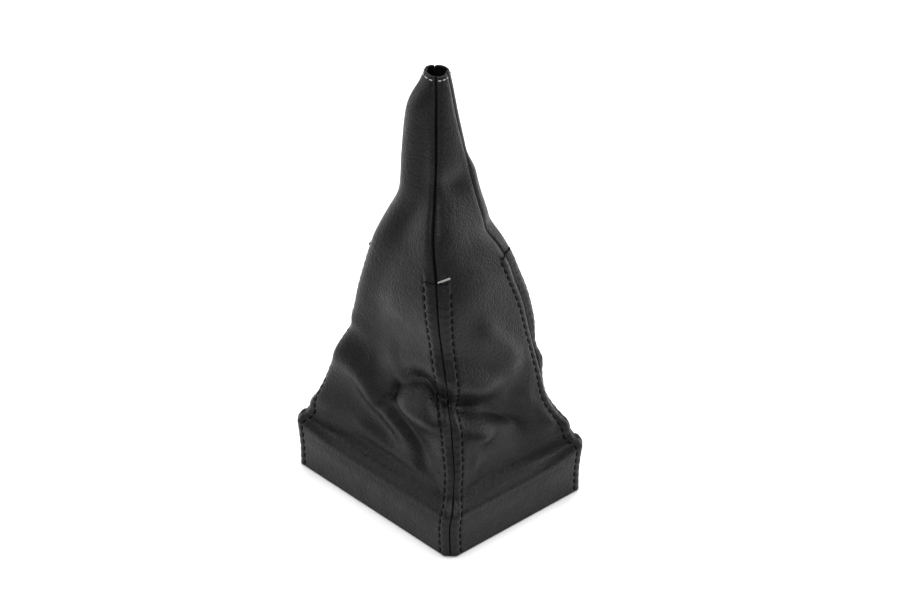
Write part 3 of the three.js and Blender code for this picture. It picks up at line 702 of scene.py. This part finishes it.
def shell_faces(rows, cols):
    """Quads of a closed shell between two grids whose last rows meet, the inner grid's numbers after the
    outer's: both faces, the hem's edge and the two side edges."""
    at = np.arange(rows * cols).reshape(rows, cols)
    far = at + rows * cols
    far[-1] = at[-1]

    def strip(a, b):
        return np.stack([a[:-1], a[1:], b[1:], b[:-1]], -1)

    outer = np.stack([at[:-1, :-1], at[:-1, 1:], at[1:, 1:], at[1:, :-1]], -1).reshape(-1, 4)
    inner = np.stack([far[:-1, :-1], far[1:, :-1], far[1:, 1:], far[:-1, 1:]], -1).reshape(-1, 4)
    hem = strip(far[0], at[0])
    left = strip(at[:, 0], far[:, 0])[:-1]
    right = strip(far[:, -1], at[:, -1])[:-1]
    last_left = np.array([[at[-2, 0], at[-1, 0], far[-2, 0]]])
    last_right = np.array([[at[-2, -1], far[-2, -1], at[-1, -1]]])
    quads = np.concatenate([outer, inner, hem, left, right])
    return quads.tolist() + last_left.tolist() + last_right.tolist()


def put_mesh(name, points, faces, material, uvs=None):
    """A mesh object at the origin with smooth faces, from points in millimetres."""
    mesh = bpy.data.meshes.new(name)
    mesh.from_pydata((points * MM).tolist(), [], faces)
    if uvs is not None:
        layer = mesh.uv_layers.new(name="thread")
        corners = np.empty(len(mesh.loops), np.int32)
        mesh.loops.foreach_get("vertex_index", corners)
        layer.data.foreach_set("uv", uvs[corners].ravel())
    mesh.polygons.foreach_set("use_smooth", np.ones(len(mesh.polygons), bool))
    mesh.materials.append(material)
    mesh.validate()
    mesh.update()
    obj = bpy.data.objects.new(name, mesh)
    bpy.context.scene.collection.objects.link(obj)
    return obj


def thread_mesh(paths, normals, radius):
    """Closed threads along many paths at once. Each ring is a circle round the path, flattened along the
    normal, and its radius falls to a point at both ends on a quarter round. Returns points, faces and UVs
    with the length in thread widths across and the turn round the thread up."""
    count, steps, _ = paths.shape
    along = unit(np.gradient(paths, axis=1))
    up = unit(normals - along * (normals * along).sum(-1, keepdims=True))
    across = np.cross(along, up)
    run = np.linalg.norm(np.diff(paths, axis=1), axis=-1)
    run = np.concatenate([np.zeros((count, 1)), np.cumsum(run, axis=1)], axis=1)
    left = np.minimum(run, run[:, -1:] - run) / radius
    swell = np.sqrt(np.clip(1 - (1 - np.clip(left, 0, 1)) ** 2, 0.02, 1))
    angle = np.linspace(0, 2 * np.pi, THREAD_SIDES, endpoint=False)
    ring = (
        across[:, :, None] * np.cos(angle)[:, None]
        + up[:, :, None] * THREAD_FLATNESS * np.sin(angle)[:, None]
    )
    points = paths[:, :, None] + ring * (radius * swell)[..., None, None]
    shape = (count, steps, THREAD_SIDES)
    numbers = np.arange(math.prod(shape)).reshape(shape)
    turned = np.roll(numbers, -1, axis=2)
    walls = np.stack([numbers[:, :-1], numbers[:, 1:], turned[:, 1:], turned[:, :-1]], -1)
    faces = walls.reshape(-1, 4).tolist() + numbers[:, 0].tolist() + numbers[:, -1, ::-1].tolist()
    lengths = np.broadcast_to(run[:, :, None] / (2 * radius), shape)
    turns = np.broadcast_to(angle / (2 * np.pi), shape)
    uvs = np.stack([lengths, turns], -1).reshape(-1, 2)
    return points.reshape(-1, 3), faces, uvs


def stitch_lift(t, radius, dive):
    """Height of a stitch over the leather: a power of a half sine that comes out of one hole, lies flat and
    dives by that much into the next."""
    return radius * THREAD_REST - dive * (1 - np.sin(np.pi * t) ** STITCH_POWER)


def sew(cloth, side, share_of, count):
    """Stitches of one pitch each, laid along a line on a panel's outer face from the skirt up."""
    v = np.linspace(cloth.skirt_start, cloth.end, 3000)
    points = cloth.surface(side, share_of(v), v)
    run = np.concatenate([[0], np.cumsum(np.linalg.norm(np.diff(points, axis=0), axis=1))])
    t = np.linspace(0, 1, 13)
    begin = cloth.pitch * np.arange(count)[:, None]
    lengths = begin + STITCH_GAP + (cloth.pitch - 2 * STITCH_GAP) * t
    at = np.interp(lengths, run, v)
    s = share_of(at)
    outer, _, normal = faces_at(cloth, side, s, at)
    lift = stitch_lift(t, cloth.thread_radius, STITCH_SINK + cloth.thread_radius)
    return outer + normal * lift[:, None], normal


def short_stitch(cloth, side, share, level, t, radius):
    """One stitch of a bar tack or of the rim, level across a panel's outer face."""
    outer, _, normal = faces_at(cloth, side, share, np.full_like(t, level))
    return outer + normal * stitch_lift(t, radius, TACK_DIVE * radius)[:, None], normal


def faces_at(cloth, side, s, v):
    """Outer face and normal at scattered places of a panel, each given by its own s and v."""
    shape = s.shape
    flat_s = s.reshape(-1, 1)
    flat_v = v.reshape(-1, 1)
    padded = np.concatenate([np.zeros_like(flat_s), flat_s, np.ones_like(flat_s)], axis=1)
    outer, inner, normal = cloth.faces(side, padded, flat_v)
    return outer[:, 1].reshape(*shape, 3), inner[:, 1].reshape(*shape, 3), normal[:, 1].reshape(*shape, 3)


def lay_threads(name, paths, normals, radius, material, slot, cad_node):
    """Threads along paths as one piece, in place of the plain thread of the frame."""
    points, faces, uvs = thread_mesh(np.array(paths), np.array(normals), radius)
    dress(put_mesh(name, points, faces, material, uvs), slot, cad_node)


def new_material(name, color, roughness):
    """A node material with its Principled shader and output, ready for bump and variation."""
    material = bpy.data.materials.new(name)
    material.use_nodes = True
    shader = material.node_tree.nodes["Principled BSDF"]
    shader.inputs["Base Color"].default_value = (*color, 1)
    shader.inputs["Roughness"].default_value = roughness
    return material, material.node_tree, shader


def node(tree, kind, **values):
    """A node with its own properties and socket values set by name."""
    made = tree.nodes.new(kind)
    for name, value in values.items():
        if name in made.inputs:
            made.inputs[name].default_value = value
        else:
            setattr(made, name, value)
    return made


def noise(tree, where, scale, detail, roughness=0.5):
    """A noise node on the piece's own coordinates."""
    made = node(tree, "ShaderNodeTexNoise", Scale=scale, Detail=detail, Roughness=roughness)
    tree.links.new(where.outputs["Object"], made.inputs["Vector"])
    return made


def spread(tree, value, low, high, to_low, to_high, kind="LINEAR"):
    """A value taken from the range low to high to the range to_low to to_high."""
    made = node(tree, "ShaderNodeMapRange", interpolation_type=kind)
    for name, end in zip(("From Min", "From Max", "To Min", "To Max"), (low, high, to_low, to_high)):
        made.inputs[name].default_value = end
    tree.links.new(value, made.inputs["Value"])
    return made.outputs["Result"]


def work_out(tree, operation, *values):
    """The result of a sum on sockets and numbers."""
    made = node(tree, "ShaderNodeMath", operation=operation)
    for socket, value in zip(made.inputs, values):
        if isinstance(value, float):
            socket.default_value = value
        else:
            tree.links.new(value, socket)
    return made.outputs["Value"]


def relief(tree, height, strength, distance, under=None):
    """A bump from a height, laid over the bump under it."""
    made = node(tree, "ShaderNodeBump", Strength=strength, Distance=distance)
    tree.links.new(height, made.inputs["Height"])
    if under is not None:
        tree.links.new(under, made.inputs["Normal"])
    return made.outputs["Normal"]


def tint(tree, shader, factor, color, low, high):
    """The base colour, darker or lighter by the factor: from low to high times the colour."""
    made = node(tree, "ShaderNodeMix", data_type="RGBA")
    made.inputs["A"].default_value = (*(low * value for value in color), 1)
    made.inputs["B"].default_value = (*(high * value for value in color), 1)
    tree.links.new(factor, made.inputs["Factor"])
    tree.links.new(made.outputs["Result"], shader.inputs["Base Color"])


def leatherette(finish):
    """Black leatherette: pebbles from Voronoi cells with soft valleys between them, finer wrinkles from
    noise, a slow change of roughness over the surface, and colour a little lighter on the pebbles than
    between them."""
    roughness = finish.leather_roughness
    material, tree, shader = new_material("grained_leatherette", finish.leather_color, roughness)
    shader.inputs["Specular IOR Level"].default_value = LEATHER_SPECULAR
    link = tree.links.new
    where = node(tree, "ShaderNodeTexCoord")
    bend = noise(tree, where, 420.0, 2.0)
    mixed = node(tree, "ShaderNodeMix", data_type="VECTOR")
    mixed.inputs["Factor"].default_value = 0.0012
    link(where.outputs["Object"], mixed.inputs["A"])
    link(bend.outputs["Color"], mixed.inputs["B"])
    cells = node(tree, "ShaderNodeTexVoronoi", feature="SMOOTH_F1", Scale=1 / finish.grain, Smoothness=0.35)
    link(mixed.outputs["Result"], cells.inputs["Vector"])
    pebble = spread(tree, cells.outputs["Distance"], 0.15, 0.85, 1.0, 0.0, "SMOOTHSTEP")
    fine = noise(tree, where, 2600.0, 3.0, 0.6)
    blotch = noise(tree, where, 160.0, 4.0, 0.6)
    grain = relief(tree, pebble, 0.5, 0.00025)
    wrinkles = relief(tree, fine.outputs["Fac"], 0.3, 0.00008, grain)
    uneven = relief(tree, blotch.outputs["Fac"], 0.4, 0.0006, wrinkles)
    link(uneven, shader.inputs["Normal"])
    rough = spread(tree, blotch.outputs["Fac"], 0.3, 0.7, roughness - 0.05, roughness + 0.08)
    link(rough, shader.inputs["Roughness"])
    tint(tree, shader, pebble, finish.leather_color, 0.8, 1.3)
    return material


def twisted_thread(name, color, roughness):
    """Sewing thread: plies as bands that run at a slant round it, with darker valleys and loose fibres."""
    material, tree, shader = new_material(name, color, roughness)
    shader.inputs["Specular IOR Level"].default_value = THREAD_SPECULAR
    link = tree.links.new
    where = node(tree, "ShaderNodeTexCoord")
    split = node(tree, "ShaderNodeSeparateXYZ")
    link(where.outputs["UV"], split.inputs["Vector"])
    turns = work_out(tree, "MULTIPLY", split.outputs["Y"], 3.0)
    phase = work_out(tree, "ADD", split.outputs["X"], turns)
    wave = work_out(tree, "SINE", work_out(tree, "MULTIPLY", phase, 2 * math.pi))
    ply = spread(tree, wave, -1.0, 1.0, 0.0, 1.0)
    plies = relief(tree, ply, 0.8, 0.00015)
    fibre = noise(tree, where, 9000.0, 2.0)
    link(relief(tree, fibre.outputs["Fac"], 0.4, 0.00005, plies), shader.inputs["Normal"])
    tint(tree, shader, ply, color, 0.6, 1.0)
    return material


def frame_plastic():
    """Moulded black plastic with a fine spark-eroded texture."""
    material, tree, shader = new_material("textured_plastic", (0.02, 0.02, 0.02), 0.45)
    speck = noise(tree, node(tree, "ShaderNodeTexCoord"), 3500.0, 3.0)
    tree.links.new(relief(tree, speck.outputs["Fac"], 0.35, 0.0001), shader.inputs["Normal"])
    rough = spread(tree, speck.outputs["Fac"], 0.0, 1.0, 0.38, 0.55)
    tree.links.new(rough, shader.inputs["Roughness"])
    return material


def material_of(name, make, *values):
    """A material by name, made the first time it is asked for."""
    return bpy.data.materials.get(name) or make(*values)


def settings(context):
    """The cloth with its sewing, and the finishes."""
    scene = context.scene
    return Cloth(scene.gaiter_shape, scene.gaiter_stitching), scene.gaiter_finish


def black_thread(finish):
    """The black topstitching thread's material."""
    return material_of("black_twist", twisted_thread, "black_twist", finish.black_thread, 0.75)


def pale_thread(finish):
    """The pale thread's material."""
    return material_of("pale_twist", twisted_thread, "pale_twist", finish.pale_thread, 0.7)


def dress(obj, slot, *nodes):
    """Puts a piece on the body, in place of its CAD nodes."""
    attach(obj, "root")
    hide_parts(*nodes)


class GAITER_OT_panels(bpy.types.Operator):
    """Make the four leatherette panels with their seams, hems and folds"""

    bl_idname = "gaiter.panels"
    bl_label = "Leatherette Panels"

    def execute(self, context):
        cloth, finish = settings(context)
        leather = material_of("grained_leatherette", leatherette, finish)
        for side, panel in enumerate(PANELS):
            outer, inner = panel_grids(cloth, side)
            rows, cols = outer.shape[:2]
            points = np.concatenate([outer.reshape(-1, 3), inner[:-1].reshape(-1, 3)])
            obj = put_mesh(f"leather_{panel[0]}", points, shell_faces(rows, cols), leather)
            dress(obj, "leatherette", f"panel_{panel[0]}")
            width = cloth.length(side, 0.0) * MM + 2 * ALLOWANCE * MM
        return {"FINISHED"}


class GAITER_OT_topstitching(bpy.types.Operator):
    """Sew the eight rows of black topstitches beside the seams"""

    bl_idname = "gaiter.topstitching"
    bl_label = "Topstitching"

    def execute(self, context):
        cloth, finish = settings(context)
        thread = black_thread(finish)
        for side, panel in enumerate(PANELS):
            for end, name in enumerate(panel[4]):
                run = cloth.rows[side, end][1][-1]
                count = int(run // cloth.pitch)

                def share_of(v, side=side, end=end):
                    return cloth.row_share(side, end, v, cloth.row_offset)

                paths, normals = sew(cloth, side, share_of, count)
                piece = name.replace("topstitch", "stitches")
                lay_threads(piece, paths, normals, cloth.thread_radius, thread, "black_thread", name)
        return {"FINISHED"}


class GAITER_OT_bar_tacks(bpy.types.Operator):
    """Sew the bar tack across the top of each pair of topstitch rows"""

    bl_idname = "gaiter.bar_tacks"
    bl_label = "Bar Tacks"

    def execute(self, context):
        cloth, finish = settings(context)
        radius = cloth.thread_radius
        thread = black_thread(finish)
        t = np.linspace(0, 1, 13)
        level = cloth.row_top + TACK_RISE
        for seam, corner in enumerate(CORNER_NAMES):
            paths = []
            normals = []
            for side, end in ((seam, 1), ((seam + 1) % 4, 0)):
                for near, far in TACK_STITCHES:
                    share = cloth.row_share(side, end, np.full_like(t, level), near + (far - near) * t)
                    path, normal = short_stitch(cloth, side, share, level, t, radius)
                    paths.append(path)
                    normals.append(normal)
            cad_node = f"bar_tack_{corner}"
            lay_threads(f"tack_{corner}", paths, normals, radius, thread, "black_thread", cad_node)
        return {"FINISHED"}


class GAITER_OT_seam_threads(bpy.types.Operator):
    """Sew the lockstitches that join the panels on the inside"""

    bl_idname = "gaiter.seam_threads"
    bl_label = "Seam Threads"

    def execute(self, context):
        cloth, finish = settings(context)
        radius = cloth.thread_radius
        thread = black_thread(finish)
        t = np.linspace(0, 1, 9)
        for seam, corner in enumerate(CORNER_NAMES):
            low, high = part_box(f"seam_thread_{corner}")
            v = np.linspace(cloth.path_at(low.z / MM), cloth.path_at(high.z / MM), 1500)
            side = (seam + 1) % 4
            at = np.zeros_like(v)
            _, inner, normal = faces_at(cloth, side, at, v)
            run = np.concatenate([[0], np.cumsum(np.linalg.norm(np.diff(inner, axis=0), axis=1))])
            count = int(run[-1] // cloth.pitch)
            lengths = cloth.pitch * (np.arange(count)[:, None] + 0.1 + 0.8 * t)
            middle = np.stack([np.interp(lengths, run, inner[:, k]) for k in range(3)], -1)
            facing = unit(np.stack([np.interp(lengths, run, normal[:, k]) for k in range(3)], -1))
            paths = middle - facing * (CLEARANCE + radius)
            cad_node = f"seam_thread_{corner}"
            lay_threads(f"seam_stitches_{corner}", paths, -facing, radius, thread, "black_thread", cad_node)
        return {"FINISHED"}


class GAITER_OT_thread_tail(bpy.types.Operator):
    """Lay the pale end of the bottom thread above the near bar tack"""

    bl_idname = "gaiter.thread_tail"
    bl_label = "Thread Tail"

    def execute(self, context):
        cloth, finish = settings(context)
        radius = cloth.thread_radius
        t = np.linspace(0, 1, 17)
        side = NEAR + 1
        v = cloth.row_top + np.array(TAIL_RISE)
        share = cloth.row_share(side, 0, v, np.array(TAIL_ACROSS))
        outer, _, normal = faces_at(cloth, side, share, v)
        start, end = outer + normal * radius
        normal = np.broadcast_to(unit(normal.sum(0)), (len(t), 3))
        lift = TAIL_ARCH * np.sin(np.pi * t) + TAIL_LIFT * t
        path = start + (end - start) * t[:, None] + normal * lift[:, None]
        thread = pale_thread(finish)
        lay_threads("loose_thread_end", [path], [normal], radius, thread, "pale_thread", "thread_tail")
        return {"FINISHED"}


class GAITER_OT_rim_stitching(bpy.types.Operator):
    """Sew the row of pale stitches that holds the rim's hem"""

    bl_idname = "gaiter.rim_stitching"
    bl_label = "Rim Stitching"

    def execute(self, context):
        cloth, finish = settings(context)
        radius = RIM_THREAD_SHARE * cloth.thread_radius
        t = np.linspace(0, 1, 13)
        paths = []
        normals = []
        level = cloth.path_at(cloth.height - RIM_ROW)
        for side in range(4):
            for start, end in RIM_STITCHES:
                share = start + (end - start) * t
                path, normal = short_stitch(cloth, side, share, level, t, radius)
                paths.append(path)
                normals.append(normal)
        thread = pale_thread(finish)
        lay_threads("rim_stitches", paths, normals, radius, thread, "pale_thread", "rim_stitching")
        return {"FINISHED"}


class GAITER_OT_base_frame(bpy.types.Operator):
    """Give the thin frame inside the skirt its plastic"""

    bl_idname = "gaiter.base_frame"
    bl_label = "Base Frame"

    def execute(self, context):
        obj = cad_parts["base_frame"]
        obj.data.materials.clear()
        obj.data.materials.append(material_of("textured_plastic", frame_plastic))
        return {"FINISHED"}


class GAITER_OT_stage(bpy.types.Operator):
    """Set the floor, the soft studio light and the camera"""

    bl_idname = "gaiter.stage"
    bl_label = "Studio Stage"

    def softbox(self, name, place, size, power):
        """A square area light at a place, turned to the gaiter."""
        light = bpy.data.lights.new(name, "AREA")
        light.size = size
        light.energy = power
        lamp = bpy.data.objects.new(name, light)
        bpy.context.scene.collection.objects.link(lamp)
        lamp.location = place
        lamp.rotation_euler = (Vector((0, 0, 0.1)) - place).to_track_quat("-Z", "Y").to_euler()

    def execute(self, context):
        scene = context.scene
        half = 6.0
        corners = np.array([(-half, -half, 0), (half, -half, 0), (half, half, 0), (-half, half, 0)])
        white, _, _ = new_material("studio_floor", (0.9, 0.9, 0.9), 0.9)
        floor = put_mesh("floor", (corners - (0, 0, 0.0002)) / MM, [(0, 1, 2, 3)], white)
        world = bpy.data.worlds.new("studio")
        scene.world = world
        world.use_nodes = True
        background = world.node_tree.nodes["Background"]
        background.inputs["Color"].default_value = (1, 1, 1, 1)
        background.inputs["Strength"].default_value = 0.32
        azimuth, elevation = CAMERA_AZIMUTH, CAMERA_ELEVATION
        front = Vector((math.sin(azimuth), -math.cos(azimuth), 0))
        right = Vector((math.cos(azimuth), math.sin(azimuth), 0))
        above = Vector((0, 0, 1))
        self.softbox("overhead_softbox", above * 1.3 - front * 0.35, 1.1, 25)
        self.softbox("front_softbox", above * 1.1 + front * 0.75, 0.8, 7)
        self.softbox("left_softbox", above * 0.5 - front * 0.5 - right * 1.1, 1.0, 5.0)
        self.softbox("right_softbox", above * 0.5 - front * 0.5 + right * 1.1, 1.0, 8)
        back = front * math.cos(elevation) + above * math.sin(elevation)
        up = back.cross(right)
        camera = bpy.data.cameras.new("camera")
        camera.sensor_width = SENSOR_WIDTH
        camera.lens = SENSOR_WIDTH * FOCAL_LENGTH_PX / PHOTO_WIDTH_PX
        camera.clip_end = 50
        eye = bpy.data.objects.new("camera", camera)
        scene.collection.objects.link(eye)
        pose = Matrix((right, up, back)).transposed().to_4x4()
        pose.translation = back * CAMERA_DISTANCE + right * CAMERA_SIDE + up * CAMERA_RISE
        eye.matrix_world = pose
        scene.camera = eye
        scene.view_settings.view_transform = "Standard"
        return {"FINISHED"}


class GAITER_PT_sidebar(bpy.types.Panel):
    """Lists the gaiter's pieces and settings"""

    bl_idname = "GAITER_PT_sidebar"
    bl_label = "Gear Lever Gaiter"
    bl_space_type = "VIEW_3D"
    bl_region_type = "UI"
    bl_category = "Gaiter"

    def draw(self, context):
        layout = self.layout
        scene = context.scene
        for group in (scene.gaiter_shape, scene.gaiter_stitching, scene.gaiter_finish):
            box = layout.box()
            for name in group.bl_rna.properties.keys():
                if name not in ("rna_type", "name"):
                    box.prop(group, name)
        for operator in OPERATORS:
            layout.operator(operator.bl_idname)


GROUPS = (GaiterShape, GaiterStitching, GaiterFinish)
OPERATORS = (
    GAITER_OT_panels,
    GAITER_OT_topstitching,
    GAITER_OT_bar_tacks,
    GAITER_OT_seam_threads,
    GAITER_OT_thread_tail,
    GAITER_OT_rim_stitching,
    GAITER_OT_base_frame,
    GAITER_OT_stage,
)


def register():
    for item in (*GROUPS, *OPERATORS, GAITER_PT_sidebar):
        bpy.utils.register_class(item)
    bpy.types.Scene.gaiter_shape = PointerProperty(type=GaiterShape)
    bpy.types.Scene.gaiter_stitching = PointerProperty(type=GaiterStitching)
    bpy.types.Scene.gaiter_finish = PointerProperty(type=GaiterFinish)


def unregister():
    del bpy.types.Scene.gaiter_shape
    del bpy.types.Scene.gaiter_stitching
    del bpy.types.Scene.gaiter_finish
    for item in reversed((*GROUPS, *OPERATORS, GAITER_PT_sidebar)):
        bpy.utils.unregister_class(item)


def main():
    register()
    bpy.ops.gaiter.stage()
    bpy.ops.gaiter.panels()
    bpy.ops.gaiter.topstitching()
    bpy.ops.gaiter.bar_tacks()
    bpy.ops.gaiter.seam_threads()
    bpy.ops.gaiter.thread_tail()
    bpy.ops.gaiter.rim_stitching()
    bpy.ops.gaiter.base_frame()


if __name__ == "__main__":
    main()
